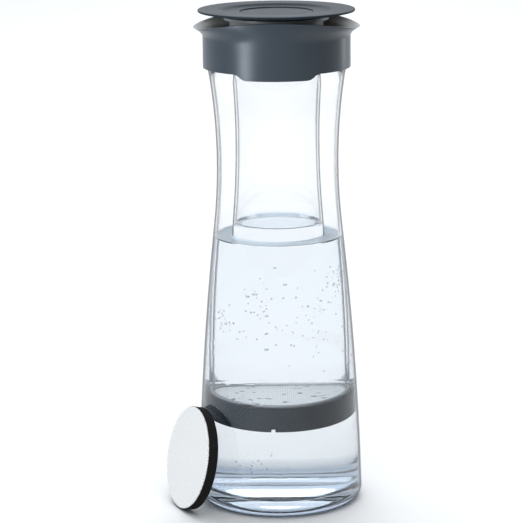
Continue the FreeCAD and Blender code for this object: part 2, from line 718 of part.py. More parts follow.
def make_disc(owner, placement):
    """A filter disc: carbon core, black band round it and a white mesh on each face."""
    meshes = (("base_mesh", "0", "disc_mesh_thickness", "0"),
              ("top_mesh", "disc_top_mesh_base", "disc_thickness", "disc_thickness"))
    pieces = []
    for name, bottom, top, face in meshes:
        mesh = new_body(f"{owner}_{name}")
        revolve(mesh, "sheet", rectangle("0", "disc_mesh_radius", bottom, top))
        round_edges(mesh, "edge", "disc_mesh_fillet", [("disc_mesh_radius", face)])
        pieces.append(mesh)
    rings = (("core", "0", "disc_band_bore"), ("band", "disc_band_bore", "disc_radius"))
    for name, inner, outer in rings:
        ring = new_body(f"{owner}_{name}")
        revolve(ring, "ring", rectangle(inner, outer, "disc_mesh_thickness", "disc_top_mesh_base"))
        pieces.append(ring)
    for piece in pieces:
        piece.Placement = placement
    return pieces


def spare_disc_placement():
    """Where the spare disc stands: its rim on the table, its upper rim leaning on the vessel's wall."""
    lean = math.radians(value("spare_lean"))
    bearing = math.radians(value("spare_bearing"))
    radius = value("disc_radius")
    rest_height = 2 * radius * math.cos(lean)
    wall = value(body_radius_at("carafe", str(rest_height))) + value("seat_gap")
    outwards = V(-math.cos(bearing), -math.sin(bearing), 0)
    normal = outwards * math.cos(lean) + UP * math.sin(lean)
    rising = UP * math.cos(lean) - outwards * math.sin(lean)
    sinking = value("disc_mesh_thickness") * math.sin(lean)
    back_middle = outwards * wall + UP * (rest_height - sinking) - rising * radius
    turn = FreeCAD.Rotation(rising.cross(normal), rising, normal, "ZYX")
    return FreeCAD.Placement(back_middle, turn)


def make_lid_top():
    """The dished lid: thin at its edge, stepped down to the seat of the cap in its middle."""
    body = new_body("lid_top")
    revolve(body, "dish", [
        ("lid_shelf_bore", "lid_underside"),
        ("plug_flange_radius", "lid_underside"),
        ("lid_radius", "lid_edge_bottom"),
        ("lid_radius", "lid_edge_top"),
        ("lid_step_radius + lid_step_slope", "lid_step_top"),
        ("lid_step_radius", "lid_step_bottom"),
        ("lid_hole_radius", "lid_step_bottom"),
        ("lid_hole_radius", "lid_cap_seat"),
        ("lid_shelf_bore", "lid_cap_seat"),
    ])
    round_edges(body, "edge", "lid_edge_fillet", [
        ("lid_radius", "lid_edge_bottom"), ("lid_radius", "lid_edge_top")])
    return body


def make_lid_cap():
    """The disc set into the middle of the lid."""
    body = new_body("lid_cap")
    revolve(body, "disc", rectangle("0", "lid_cap_radius", "lid_cap_seat", "lid_cap_top"))
    round_edges(body, "edge", "lid_cap_fillet", [("lid_cap_radius", "lid_cap_top")])
    return body


def make_lid_plug():
    """The skirt that closes the tube's mouth, with a groove for its ring and a flange under the lid."""
    body = new_body("lid_plug")
    revolve(body, "skirt", [
        ("plug_bore", "hub_stop_top"),
        ("plug_radius", "hub_stop_top"),
        ("plug_radius", "plug_groove_bottom"),
        ("plug_groove_radius", "plug_groove_bottom"),
        ("plug_groove_radius", "plug_groove_top"),
        ("plug_radius", "plug_groove_top"),
        ("plug_radius", "plug_flange_bottom"),
        ("plug_flange_radius", "plug_flange_bottom"),
        ("plug_flange_radius", "lid_underside"),
        ("plug_bore", "lid_underside"),
    ])
    return body


def make_lid_seal():
    """The round ring in the plug's groove."""
    ring = doc.addObject("Part::Torus", "lid_seal")
    ring.Label = "lid_seal"
    ring.setExpression("Radius1", bound("lid_seal_radius"))
    ring.setExpression("Radius2", bound("lid_seal_section"))
    ring.setExpression("Placement.Base.z", bound("lid_seal_height"))
    return ring


def checked(pieces):
    """The pieces, once nothing in the document has failed and every shape is whole."""
    doc.recompute()
    failed = [item.Name for item in doc.Objects if {"Invalid", "Error"} & set(item.State)]
    if failed:
        raise RuntimeError(f"failed: {failed}")
    for piece in pieces:
        if piece.Shape.isNull() or not piece.Shape.isValid():
            raise RuntimeError(f"{piece.Label} has no valid shape")
    return pieces


doc = FreeCAD.newDocument("filter_carafe")
filled_sheet("Sizes", SIZES)
fits_sheet = filled_sheet("Fits", {name: "=" + bound(text) for name, text in FITS.items()})

fitted_place = FreeCAD.Placement(V(0, 0, value("disc_seat")), FreeCAD.Rotation())
pieces = [
    make_carafe(),
    make_pour_collar(),
    make_collar_seal(),
    make_tube_hub(),
    make_filter_tube(),
    make_cage_ring(),
    make_cage_grid(),
    make_cage_seal(),
    *make_disc("fitted_disc", fitted_place),
    make_lid_top(),
    make_lid_cap(),
    make_lid_plug(),
    make_lid_seal(),
    *make_disc("spare_disc", spare_disc_placement()),
]

os.makedirs("parts", exist_ok=True)
for piece in checked(pieces):
    piece.Shape.exportStep(f"parts/{piece.Label}.step")
    box = piece.Shape.optimalBoundingBox()
    print(f"{piece.Label}: {len(piece.Shape.Solids)} solid, {piece.Shape.Volume / CUBIC_MM_PER_ML:.2f} ml, "
          f"z {box.ZMin:.2f} to {box.ZMax:.2f}")
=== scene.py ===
# %% [markdown]
# # A filter carafe, filled and lit
#
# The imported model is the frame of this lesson: every piece is already at its real size and place. What is
# left is what makes it look real, which is the finish of each piece, the water, the woven faces of the
# filter discs and the studio around them. Everything is in metres. +Z is up, the tab of the collar faces
# -Y, and the two spouts face +X and -X.

# %% Load the frame
import math
import random

import bmesh
import bpy
from mathutils import Matrix, Quaternion, Vector
from mathutils.bvhtree import BVHTree


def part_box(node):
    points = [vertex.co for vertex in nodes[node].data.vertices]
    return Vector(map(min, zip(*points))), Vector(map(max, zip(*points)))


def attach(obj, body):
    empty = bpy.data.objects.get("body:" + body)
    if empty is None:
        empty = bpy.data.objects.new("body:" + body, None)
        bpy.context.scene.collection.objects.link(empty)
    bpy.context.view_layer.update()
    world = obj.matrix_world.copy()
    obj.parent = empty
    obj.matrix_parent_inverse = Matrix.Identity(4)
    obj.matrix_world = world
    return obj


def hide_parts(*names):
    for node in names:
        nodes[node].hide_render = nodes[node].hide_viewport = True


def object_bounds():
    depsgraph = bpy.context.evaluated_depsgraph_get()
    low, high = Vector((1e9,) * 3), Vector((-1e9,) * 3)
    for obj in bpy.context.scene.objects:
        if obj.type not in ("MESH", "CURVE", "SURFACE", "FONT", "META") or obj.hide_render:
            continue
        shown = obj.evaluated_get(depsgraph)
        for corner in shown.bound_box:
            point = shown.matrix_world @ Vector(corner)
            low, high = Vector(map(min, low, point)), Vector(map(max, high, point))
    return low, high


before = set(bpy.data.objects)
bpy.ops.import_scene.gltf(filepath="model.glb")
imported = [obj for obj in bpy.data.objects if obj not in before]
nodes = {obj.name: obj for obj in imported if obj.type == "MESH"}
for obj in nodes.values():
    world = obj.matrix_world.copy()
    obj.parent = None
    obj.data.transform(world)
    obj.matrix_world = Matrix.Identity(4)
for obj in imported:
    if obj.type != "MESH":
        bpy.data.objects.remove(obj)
cad_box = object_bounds()
scene = bpy.context.scene
MM = 0.001
print("nodes:", len(nodes), "size in mm:", [round(side / MM, 1) for side in cad_box[1] - cad_box[0]])

# %% [markdown]
# ## The camera
#
# The photograph was taken from a little above the lid with a long lens, so the ovals of lid and foot are
# nearly the same. The camera stands straight in front of the tab. A small shift puts the carafe right of
# the middle, where it leaves room for the loose disc, and a small roll follows the photograph's own tilt.

# %% Camera
PHOTO_SIDE = 523
CAMERA_DISTANCE = 1.4
CAMERA_HEIGHT = 0.4536
AIM_HEIGHT = 0.147
FOCAL_PIXELS = 2370
AXIS_PIXELS_RIGHT = 17
CAMERA_ROLL = math.radians(0.5)
SENSOR_WIDTH = 36


def link(thing):
    """Put an object into the scene."""
    scene.collection.objects.link(thing)
    return thing


def look_at(thing, place, aim):
    """Stand a camera or a lamp at a place and turn it to a point."""
    thing.location = place
    thing.rotation_mode = "QUATERNION"
    thing.rotation_quaternion = (Vector(aim) - Vector(place)).to_track_quat("-Z", "Y")


camera = link(bpy.data.objects.new("camera", bpy.data.cameras.new("camera")))
look_at(camera, (0, -CAMERA_DISTANCE, CAMERA_HEIGHT), (0, 0, AIM_HEIGHT))
camera.rotation_quaternion = camera.rotation_quaternion @ Quaternion((0, 0, 1), -CAMERA_ROLL)
camera.data.sensor_width = SENSOR_WIDTH
camera.data.lens = FOCAL_PIXELS / PHOTO_SIDE * SENSOR_WIDTH
camera.data.shift_x = -AXIS_PIXELS_RIGHT / PHOTO_SIDE
scene.camera = camera
print("lens in mm:", round(camera.data.lens, 1))

# %% [markdown]
# ## The studio
#
# Clear things are drawn by what stands around them. One long lamp hangs over a pale floor and turns it
# white behind the carafe, and the room is bright behind and dim in front, where dark plastic gets its depth
# from. A tall soft box at the left puts the upright highlight on the collar, and a narrow strip behind at
# the right draws its far edge. Those two would also stand as hard white bars in the glass, so light linking
# lets them light only the solid pieces and the water. Only solid pieces shade them, so their light reaches
# the ring and the disc through the glass.

# %% Studio
FLOOR_RADIUS = 6.0
FLOOR_SEGMENTS = 64
FLOOR_WHITE = (0.93, 0.93, 0.93)
ROOM_COLOUR = (0.88, 0.94, 1.0)
ROOM_FRONT = 0.22
ROOM_BACK = 1.5
ROOM_TURN = (0.0, 0.7)
LAMP_COLOUR = (0.84, 0.92, 1.0)
LAMPS = {
    # name: place, point it looks at, width, height, power in watts
    "long_lamp": ((0, 0.8, 1.7), (0, 0.8, 0), 1.5, 6.2, 50),
    "left_box": ((-1.1, -0.95, 0.6), (0, 0, 0.25), 0.42, 1.2, 26),
    "right_strip": ((0.95, 0.70, 0.6), (0, 0, 0.25), 0.14, 1.2, 2.4),
}
LINKED_LAMPS = ("left_box", "right_strip")
CLEAR_NODES = ("carafe", "filter_tube")
LIGHT_BOUNCES = 32


def node_material(name):
    """A material with an empty node tree, and its output node."""
    material = bpy.data.materials.new(name)
    material.use_nodes = True
    material.node_tree.nodes.clear()
    return material, material.node_tree, material.node_tree.nodes.new("ShaderNodeOutputMaterial")


def axes_of(tree, source):
    """The X, Y and Z parts of a texture coordinate."""
    place = tree.nodes.new("ShaderNodeTexCoord")
    axes = tree.nodes.new("ShaderNodeSeparateXYZ")
    tree.links.new(place.outputs[source], axes.inputs["Vector"])
    return axes.outputs


def spread(tree, value, low, high, start=0.0, end=1.0):
    """A pattern, read between start and end, spread from low to high."""
    node = tree.nodes.new("ShaderNodeMapRange")
    node.inputs["From Min"].default_value = start
    node.inputs["From Max"].default_value = end
    node.inputs["To Min"].default_value = low
    node.inputs["To Max"].default_value = high
    tree.links.new(value, node.inputs["Value"])
    return node.outputs["Result"]


def soft_box(name, place, aim, width, height, power):
    """A rectangular lamp that looks at a point."""
    lamp = bpy.data.lights.new(name, "AREA")
    lamp.shape = "RECTANGLE"
    lamp.size = width
    lamp.size_y = height
    lamp.energy = power
    thing = link(bpy.data.objects.new(name, lamp))
    look_at(thing, place, aim)
    return thing


def pale_floor():
    """Matt white paper."""
    material, tree, output = node_material("pale_floor")
    shader = tree.nodes.new("ShaderNodeBsdfDiffuse")
    shader.inputs["Color"].default_value = (*FLOOR_WHITE, 1)
    tree.links.new(shader.outputs[0], output.inputs["Surface"])
    return material


form = bmesh.new()
bmesh.ops.create_circle(form, cap_ends=True, segments=FLOOR_SEGMENTS, radius=FLOOR_RADIUS)
floor = link(bpy.data.objects.new("floor", bpy.data.meshes.new("floor")))
form.to_mesh(floor.data)
form.free()
floor.data.materials.append(pale_floor())

scene.world = bpy.data.worlds.new("room")
scene.world.use_nodes = True
tree = scene.world.node_tree
room = tree.nodes["Background"]
room.inputs["Color"].default_value = (*ROOM_COLOUR, 1)
backwards = axes_of(tree, "Generated")["Y"]
tree.links.new(spread(tree, backwards, ROOM_FRONT, ROOM_BACK, *ROOM_TURN), room.inputs["Strength"])

lamps = {name: soft_box(name, *measures) for name, measures in LAMPS.items()}
solid_pieces = bpy.data.collections.new("solid_pieces")
lit_pieces = bpy.data.collections.new("lit_pieces")
lit_pieces.children.link(solid_pieces)
for name, node in nodes.items():
    if name not in CLEAR_NODES:
        solid_pieces.objects.link(node)
for name in LINKED_LAMPS:
    lamps[name].data.color = LAMP_COLOUR
    lamps[name].light_linking.receiver_collection = lit_pieces
    lamps[name].light_linking.blocker_collection = solid_pieces
scene.view_settings.view_transform = "Standard"
scene.cycles.max_bounces = LIGHT_BOUNCES
scene.cycles.transmission_bounces = LIGHT_BOUNCES
scene.cycles.transparent_max_bounces = LIGHT_BOUNCES
print("lamps:", list(lamps))

# %% [markdown]
# ## Small helpers for finishes
#
# A finish is a few nodes: a pattern, a spread that gives it the right strength, and the shader. The
# patterns read Object coordinates, so they are fixed to the piece and scale with real millimetres.

# %% Finish helpers
SHARP_DEGREES = 35


def principled(tree, output):
    """The main shader of a material."""
    shader = tree.nodes.new("ShaderNodeBsdfPrincipled")
    tree.links.new(shader.outputs[0], output.inputs["Surface"])
    return shader


def pattern(tree, scale, detail=2.0, kind="ShaderNodeTexNoise"):
    """A noise or cell pattern, as many to the metre as scale says."""
    place = tree.nodes.new("ShaderNodeTexCoord")
    texture = tree.nodes.new(kind)
    texture.inputs["Scale"].default_value = scale
    texture.inputs["Detail"].default_value = detail
    tree.links.new(place.outputs["Object"], texture.inputs["Vector"])
    return texture.outputs[0]


def between(tree, value, first, second):
    """A colour between two, by a pattern."""
    node = tree.nodes.new("ShaderNodeMix")
    node.data_type = "RGBA"
    node.inputs["A"].default_value = (*first, 1)
    node.inputs["B"].default_value = (*second, 1)
    tree.links.new(value, node.inputs["Factor"])
    return node.outputs["Result"]


def laid_over(tree, colour, value, second, blend="MIX"):
    """A second colour over one that nodes have made, as strongly as a pattern says."""
    node = tree.nodes.new("ShaderNodeMix")
    node.data_type = "RGBA"
    node.blend_type = blend
    node.inputs["B"].default_value = (*second, 1)
    tree.links.new(colour, node.inputs["A"])
    tree.links.new(value, node.inputs["Factor"])
    return node.outputs["Result"]


def raise_surface(tree, shader, value, depth, strength):
    """Small relief from a pattern, to a depth in metres."""
    node = tree.nodes.new("ShaderNodeBump")
    node.inputs["Strength"].default_value = strength
    node.inputs["Distance"].default_value = depth
    tree.links.new(value, node.inputs["Height"])
    tree.links.new(node.outputs["Normal"], shader.inputs["Normal"])


def finish_node(name, material):
    """Give a CAD node its material."""
    mesh = nodes[name].data
    mesh.materials.clear()
    mesh.materials.append(material)


def new_piece(name, form, body, materials, replaces=(), sharp=SHARP_DEGREES):
    """Make a finished bmesh a piece of the object that moves with a body."""
    mesh = bpy.data.meshes.new(name)
    form.to_mesh(mesh)
    form.free()
    mesh.shade_smooth()
    mesh.set_sharp_from_angle(angle=math.radians(sharp))
    for material in materials:
        mesh.materials.append(material)
    thing = link(bpy.data.objects.new(name, mesh))
    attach(thing, body)
    if replaces:
        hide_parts(*replaces)
    print(name, "faces:", len(mesh.polygons))
    return thing


print("edges sharper than", SHARP_DEGREES, "degrees stay sharp")

# %% [markdown]
# ## Satin graphite plastic
#
# Collar, hub, ring and lid are moulded in one dark blue-grey plastic. Its colour is even, so the life is
# in the surface: the mould's fine spark grain breaks the highlights up, and the gloss drifts a little
# from place to place. Noise at two scales gives both. The ring hangs in water, which takes most of the
# gloss off plastic, so its pieces get a duller copy, and the top of the lid is a little rougher.
#
# The inside of the collar, and the hub and the plug all round, stand in the light that falls in between
# the spouts and the lid. That light is painted: a warm pale grey is laid over their colour there.

# %% Graphite
GRAPHITE_DARK = (0.028, 0.041, 0.055)
GRAPHITE_LIGHT = (0.036, 0.051, 0.067)
# Painted light: a warm pale grey laid over the graphite where light falls in under the lid.
PAINTED_LIGHT_GREY = (0.21, 0.205, 0.195)
INSIDE_REACH = 10 * MM
DRIFT_SCALE = 55.0
GRAIN_SCALE = 2600.0
GRAIN_DEPTH = 0.02 * MM
GRAIN_STRENGTH = 0.25
GRAPHITE_PIECES = {
    # finish: depth of colour, gloss, lowest and highest roughness, painted light inside and outside, pieces
    "satin_graphite": (0.68, 0.5, 0.27, 0.36, 1.0, 0.0, ("pour_collar",)),
    # The hub and plug carry the painted light all round, over a paler depth of colour that is painted light
    # too.
    "hub_graphite": (1.6, 0.4, 0.30, 0.40, 1.0, 0.9, ("tube_hub", "lid_plug")),
    "matt_graphite": (0.50, 0.04, 0.40, 0.50, 0.0, 0.0, ("lid_top", "lid_cap")),
    "wet_graphite": (0.55, 0.15, 0.30, 0.40, 0.0, 0.0, ("cage_ring", "cage_grid")),
}


def painted_light_strength(tree, inside, outside):
    """Strength of painted light: one value where a round piece's surface looks at its axis, another where
    it looks away.
    """
    place = tree.nodes.new("ShaderNodeTexCoord")
    level = tree.nodes.new("ShaderNodeVectorMath")
    level.operation = "MULTIPLY"
    level.inputs[1].default_value = (1, 1, 0)
    tree.links.new(place.outputs["Object"], level.inputs[0])
    surface = tree.nodes.new("ShaderNodeNewGeometry")
    along = tree.nodes.new("ShaderNodeVectorMath")
    along.operation = "DOT_PRODUCT"
    tree.links.new(level.outputs[0], along.inputs[0])
    tree.links.new(surface.outputs["Normal"], along.inputs[1])
    return spread(tree, along.outputs["Value"], inside, outside, -INSIDE_REACH, 0)


def graphite_plastic(name, depth, gloss, smooth, rough, inside, outside):
    """Dark blue-grey plastic with a fine moulded grain, and painted light where light falls in under the
    lid.
    """
    material, tree, output = node_material(name)
    shader = principled(tree, output)
    shader.inputs["Specular IOR Level"].default_value = gloss
    drift = pattern(tree, DRIFT_SCALE)
    colours = [[depth * part for part in colour] for colour in (GRAPHITE_DARK, GRAPHITE_LIGHT)]
    colour = between(tree, drift, *colours)
    # Painted light laid over the graphite, stronger where the surface looks at the axis.
    if inside:
        colour = laid_over(tree, colour, painted_light_strength(tree, inside, outside), PAINTED_LIGHT_GREY)
    tree.links.new(colour, shader.inputs["Base Color"])
    tree.links.new(spread(tree, drift, smooth, rough), shader.inputs["Roughness"])
    raise_surface(tree, shader, pattern(tree, GRAIN_SCALE), GRAIN_DEPTH, GRAIN_STRENGTH)
    return material


for finish, (*measures, pieces) in GRAPHITE_PIECES.items():
    graphite = graphite_plastic(finish, *measures)
    for name in pieces:
        finish_node(name, graphite)
print("graphite finishes:", list(GRAPHITE_PIECES))

# %% [markdown]
# ## Rounded edges on the lid
#
# No moulded edge is perfectly sharp. The lips of the lid's two steps are rounded by a fraction of a
# millimetre, and the front one catches the light as a fine bright line. The frame's lid is exact but sharp,
# so a merged copy of it gets a small bevel on every edge that stands out from its top.

# %% Lid
LIP_ROUND = 0.35 * MM
LIP_SEGMENTS = 3
LIP_TURN = math.radians(40)
MERGE = 0.001 * MM


def rounded_lid():
    """The lid's top with its upper edges rounded."""
    form = bmesh.new()
    form.from_mesh(nodes["lid_top"].data)
    bmesh.ops.remove_doubles(form, verts=form.verts, dist=MERGE)
    floor_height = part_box("lid_cap")[1][2] + LIP_ROUND / 2
    lips = [
        edge for edge in form.edges
        if edge.is_convex and edge.calc_face_angle(0) > LIP_TURN and
        min(vert.co.z for vert in edge.verts) > floor_height
    ]
    bmesh.ops.bevel(
        form, geom=lips, offset=LIP_ROUND, offset_type="OFFSET", segments=LIP_SEGMENTS, profile=0.5,
        affect="EDGES", material=-1, clamp_overlap=True)
    print("rounded edges:", len(lips))
    lid = new_piece(
        "rounded_lid", form, "lid", nodes["lid_top"].data.materials[:], ("lid_top",))
    solid_pieces.objects.link(lid)


rounded_lid()

# %% [markdown]
# ## Clear glass and clear plastic
#
# A clear wall is nearly invisible where it is looked at squarely and shows as a thin dark line where it
# turns away, where the sight line runs along the wall. That line is painted shade: Layer Weight measures
# the turn, so the colour of the glass goes from clear to a dark painted shade only in the last few degrees.
# Dry glass and the tube also close up there: no light goes through the line, and it hardly shines. Under
# water the painted edge shade is a paler blue-grey, and the thick foot is darker towards the bottom, from
# its own tint and painted shade.

# %% Clear finishes
GLASS_INDEX = 1.5
PLASTIC_INDEX = 1.49
WATER_INDEX = 1.36
WET_PLASTIC_INDEX = 1.004
CLEAR_TINT = (0.992, 0.995, 1.0)
# Near-black painted edge shade for dry glass and plastic.
PAINTED_EDGE_SHADE = (0.035, 0.038, 0.055)
SMOKY_TURN = (0.70, 0.82)
# Faint painted edge shade for the tube under water.
FAINT_PAINTED_EDGE = (0.42, 0.46, 0.50)
FAINT_TURN = (0.74, 0.88)
WATER_TINT = (0.84, 0.865, 0.885)
# Pale blue-grey painted edge shade for the glass under water.
WET_PAINTED_EDGE = (0.52, 0.62, 0.72)
WET_TURN = (0.30, 1)
LINE_SHINE = 0.05
# Darker towards the bottom of the foot: the thick glass's own tint and painted shade.
FOOT_TINT_AND_SHADE = (0.34, 0.41, 0.51)
FOOT_HEIGHTS = (3 * MM, 15 * MM)


def clear_solid(name, index, tint, edge, turn, foot=None, clearness=1.0, closing=False):
    """A clear material with painted shade where the surface turns away, and a foot darkened by its own tint
    and painted shade.
    """
    material, tree, output = node_material(name)
    shader = principled(tree, output)
    shader.inputs["Roughness"].default_value = 0.0
    shader.inputs["IOR"].default_value = index
    shader.inputs["Transmission Weight"].default_value = clearness
    # Painted shade: the colour turns to the edge shade where the surface turns away from the sight line.
    sight = tree.nodes.new("ShaderNodeLayerWeight")
    turned = spread(tree, sight.outputs["Facing"], 0, 1, *turn)
    # Where dry walls turn away, the painted dark line is also made opaque and dull.
    if closing:
        shader.inputs["Specular IOR Level"].default_value = LINE_SHINE
        tree.links.new(spread(tree, turned, clearness, 0), shader.inputs["Transmission Weight"])
    colour = between(tree, turned, tint, edge)
    # The foot: darker towards the bottom, from its own tint and painted shade.
    if foot:
        low = spread(tree, axes_of(tree, "Object")["Z"], 1, 0, *FOOT_HEIGHTS)
        colour = laid_over(tree, colour, low, foot, "MULTIPLY")
    tree.links.new(colour, shader.inputs["Base Color"])
    return material


dry_glass = clear_solid(
    "dry_glass", GLASS_INDEX, CLEAR_TINT, PAINTED_EDGE_SHADE, SMOKY_TURN, FOOT_TINT_AND_SHADE, closing=True)
wet_glass = clear_solid(
    "wet_glass", GLASS_INDEX / WATER_INDEX, WATER_TINT, WET_PAINTED_EDGE, WET_TURN, FOOT_TINT_AND_SHADE)
dry_plastic = clear_solid(
    "dry_plastic", PLASTIC_INDEX, CLEAR_TINT, PAINTED_EDGE_SHADE, SMOKY_TURN, closing=True)
wet_plastic = clear_solid(
    "wet_plastic", WET_PLASTIC_INDEX, CLEAR_TINT, FAINT_PAINTED_EDGE, FAINT_TURN, closing=True)
print("clear finishes:", [finish.name for finish in (dry_glass, wet_glass, dry_plastic, wet_plastic)])

# %% [markdown]
# ## Water lines on the glass and on the tube
#
# Light bends where it goes from one clear thing into another, and the bend depends on both. Air to glass
# is a strong one, water to glass is so weak that a tube almost disappears under water. Each clear wall
# therefore needs two finishes that meet at the water line. A copy of its mesh is merged, cut once at each
# water level and given the wet finish where its inner or its outer side is under water.

# %% Wetted walls
OUTER_LEVEL = 163.8 * MM
INNER_LEVEL = 172.0 * MM
STEEP = 0.7


def faces_inwards(face):
    """Whether a face of a round vessel looks at its inside: at the axis, or up from its floor."""
    across = face.calc_center_median().xy.dot(face.normal.xy)
    return face.normal.z > STEEP or (across < 0 and face.normal.z > -STEEP)


def wetted_wall(name, node, body, finishes, inner_level, outer_level):
    """A clear vessel, dry above and wet below one water level inside and another outside."""
    form = bmesh.new()
    form.from_mesh(nodes[node].data)
    bmesh.ops.remove_doubles(form, verts=form.verts, dist=MERGE)
    for level in (inner_level, outer_level):
        everything = form.verts[:] + form.edges[:] + form.faces[:]
        bmesh.ops.bisect_plane(
            form, geom=everything, dist=MERGE, plane_co=(0, 0, level), plane_no=(0, 0, 1))
    for face in form.faces:
        level = inner_level if faces_inwards(face) else outer_level
        face.material_index = int(face.calc_center_median().z < level)
    thing = new_piece(name, form, body, finishes, (node,))
    # The frame's stored normals don't fit a mesh that has been merged and cut.
    stored = thing.data.attributes.get("custom_normal")
    if stored:
        thing.data.attributes.remove(stored)


wetted_wall("glass_wall", "carafe", "carafe", (dry_glass, wet_glass), OUTER_LEVEL, 0)
wetted_wall(
    "hanging_tube", "filter_tube", "insert", (dry_plastic, wet_plastic),
    INNER_LEVEL, OUTER_LEVEL)

# %% [markdown]
# ## The water
#
# Water has no shape of its own, so its outline is measured: straight lines are cast from the axis to the
# inner wall of the carafe, and each place where one lands becomes a point of the outline. The outline goes
# a hair into the glass, so no gap of air is left, creeps up a little where it meets a wall, and stands
# higher inside the tube, where water still waits to run through the disc. One spin makes the body. Its two
# free surfaces bend light a little and are painted pale blue where they are seen at a slant, and the one
# round
# the tube is mostly a pale sheet: a painted reflection of the bright room. Its sides lie inside the clear
# walls, whose wet finish bends light already, so they get a finish that bends nothing, with a faint painted
# edge shade.

# %% Water
SOAK = 0.3 * MM
CREEP_HEIGHT = 1.1 * MM
CREEP_REACH = 0.9 * MM
CREEP_SHARES = (0, 0.4, 1.0, 2.0, 4.0)
CAST_HEIGHT = 30 * MM
WALL_STEPS = 16
FLOOR_STEPS = 18
ROUND_STEPS = 96
INNER_SURFACE_INDEX = 1.12
OUTER_SURFACE_INDEX = 1.05
# The outer surface lets a quarter of the light through; the rest is a pale diffuse sheet, a painted
# reflection of the bright room.
OUTER_CLEARNESS = 0.25
SURFACE_TINT = (0.985, 0.993, 0.998)
# Pale blue painted reflection where the surfaces are seen at a slant.
SURFACE_PAINTED_REFLECTION = (0.80, 0.89, 0.95)
SURFACE_TURN = (0.06, 0.30)
SURFACE_STEEP = 0.2
SIDE_INDEX = 1.0
SIDE_TINT = (1, 1, 1)
# Faint painted edge shade on the water's sides.
SIDE_PAINTED_EDGE = (0.985, 0.992, 0.998)
SIDE_TURN = (0, 1)
WATER_SHARP_DEGREES = 40


def feeler(node):
    """A search tree of a node's faces, for casting lines at it."""
    mesh = nodes[node].data
    places = [vert.co for vert in mesh.vertices]
    return BVHTree.FromPolygons(places, [face.vertices for face in mesh.polygons])


feelers = {node: feeler(node) for node in CLEAR_NODES}


def cast(node, start, heading):
    """Where a straight line from a point meets a node, and the way the surface faces there."""
    return feelers[node].ray_cast(Vector(start), Vector(heading))[:2]


def soaked_wall():
    """Points down the carafe's inner wall and across its floor to the axis, a hair inside the glass."""
    places = []
    for step in range(WALL_STEPS):
        height = OUTER_LEVEL + (CAST_HEIGHT - OUTER_LEVEL) * step / WALL_STEPS
        places.append(cast("carafe", (0, 0, height), (1, 0, 0)))
    for step in range(FLOOR_STEPS + 1):
        dip = math.radians(90) * step / FLOOR_STEPS
        places.append(cast("carafe", (0, 0, CAST_HEIGHT), (math.cos(dip), 0, -math.sin(dip))))
    return [place - facing * SOAK for place, facing in places]


def creep(radius, level, way):
    """Points where the water's surface climbs a wall, from the wall outwards."""
    return [
        Vector((radius + way * CREEP_REACH * share, 0, level + CREEP_HEIGHT * math.exp(-share)))
        for share in CREEP_SHARES
    ]


def spun(outline):
    """A closed body of revolution from an outline that starts and ends on the axis."""
    form = bmesh.new()
    verts = [form.verts.new(point) for point in outline]
    edges = [form.edges.new(pair) for pair in zip(verts, verts[1:])]
    bmesh.ops.spin(
        form, geom=verts + edges, cent=(0, 0, 0), axis=(0, 0, 1), angle=math.tau,
        steps=ROUND_STEPS, use_merge=True)
    bmesh.ops.remove_doubles(form, verts=form.verts, dist=MERGE)
    bmesh.ops.recalc_face_normals(form, faces=form.faces)
    return form


def water_outline():
    """From the middle of the inner surface, over both surfaces and down the wall to the floor."""
    tube_outside = cast("filter_tube", (cad_box[1].x, 0, OUTER_LEVEL), (-1, 0, 0))[0].x
    tube_inside = cast("filter_tube", (0, 0, INNER_LEVEL), (1, 0, 0))[0].x
    tube_middle = (tube_outside + tube_inside) / 2
    wall = soaked_wall()
    inner = creep(tube_middle, INNER_LEVEL, -1)
    beside_tube = creep(tube_middle, OUTER_LEVEL, 1)
    beside_wall = creep(wall[0].x, OUTER_LEVEL, -1)
    wall[-1].x = 0
    return [Vector((0, 0, INNER_LEVEL))] + inner[::-1] + beside_tube + beside_wall[::-1] + wall[1:]


def filtered_water():
    """The water, with a finish on each free surface and one on the sides that lie in the walls."""
    finishes = (
        clear_solid("inner_surface", INNER_SURFACE_INDEX, SURFACE_TINT, SURFACE_PAINTED_REFLECTION, SURFACE_TURN),
        clear_solid(
            "outer_surface", OUTER_SURFACE_INDEX, SURFACE_TINT, SURFACE_PAINTED_REFLECTION, SURFACE_TURN,
            clearness=OUTER_CLEARNESS),
        clear_solid("water_side", SIDE_INDEX, SIDE_TINT, SIDE_PAINTED_EDGE, SIDE_TURN),
    )
    inner, outer, side = range(len(finishes))
    form = spun(water_outline())
    halfway = (OUTER_LEVEL + INNER_LEVEL) / 2
    for face in form.faces:
        if face.normal.z <= SURFACE_STEEP:
            face.material_index = side
        elif face.calc_center_median().z < halfway:
            face.material_index = outer
        else:
            face.material_index = inner
    water = new_piece(
        "filtered_water", form, "carafe", finishes, sharp=WATER_SHARP_DEGREES)
    lit_pieces.objects.link(water)


filtered_water()

# %% [markdown]
# ## Bubbles on the wall
#
# Fresh water lets go of its air, which gathers as small bubbles on the inside of the glass, in loose
# groups. Each group has a place round the carafe and a height, and a seeded random spread, so the bubbles
# are the same in every run. They sit on the wall, found with the same cast as the water.

# %% Bubbles
BUBBLE_GROUPS = (
    # bearing from the front in degrees, height, spread of bearing, spread of height, how many
    (62, 141 * MM, 9, 5 * MM, 52),
    (-55, 118 * MM, 8, 5 * MM, 36),
    (25, 122 * MM, 16, 11 * MM, 44),
    (-18, 128 * MM, 14, 13 * MM, 24),
    (-20, 32 * MM, 9, 6 * MM, 16),
    (45, 100 * MM, 20, 12 * MM, 20),
    (140, 120 * MM, 50, 20 * MM, 30),
    (-140, 110 * MM, 50, 20 * MM, 26),
)
BUBBLE_SEED = 7
BUBBLE_RADII = (0.28 * MM, 0.62 * MM)
BUBBLE_FREE = 9 * MM
BUBBLE_SEGMENTS = 8
BUBBLE_RINGS = 5
BUBBLE_INDEX = 1.01
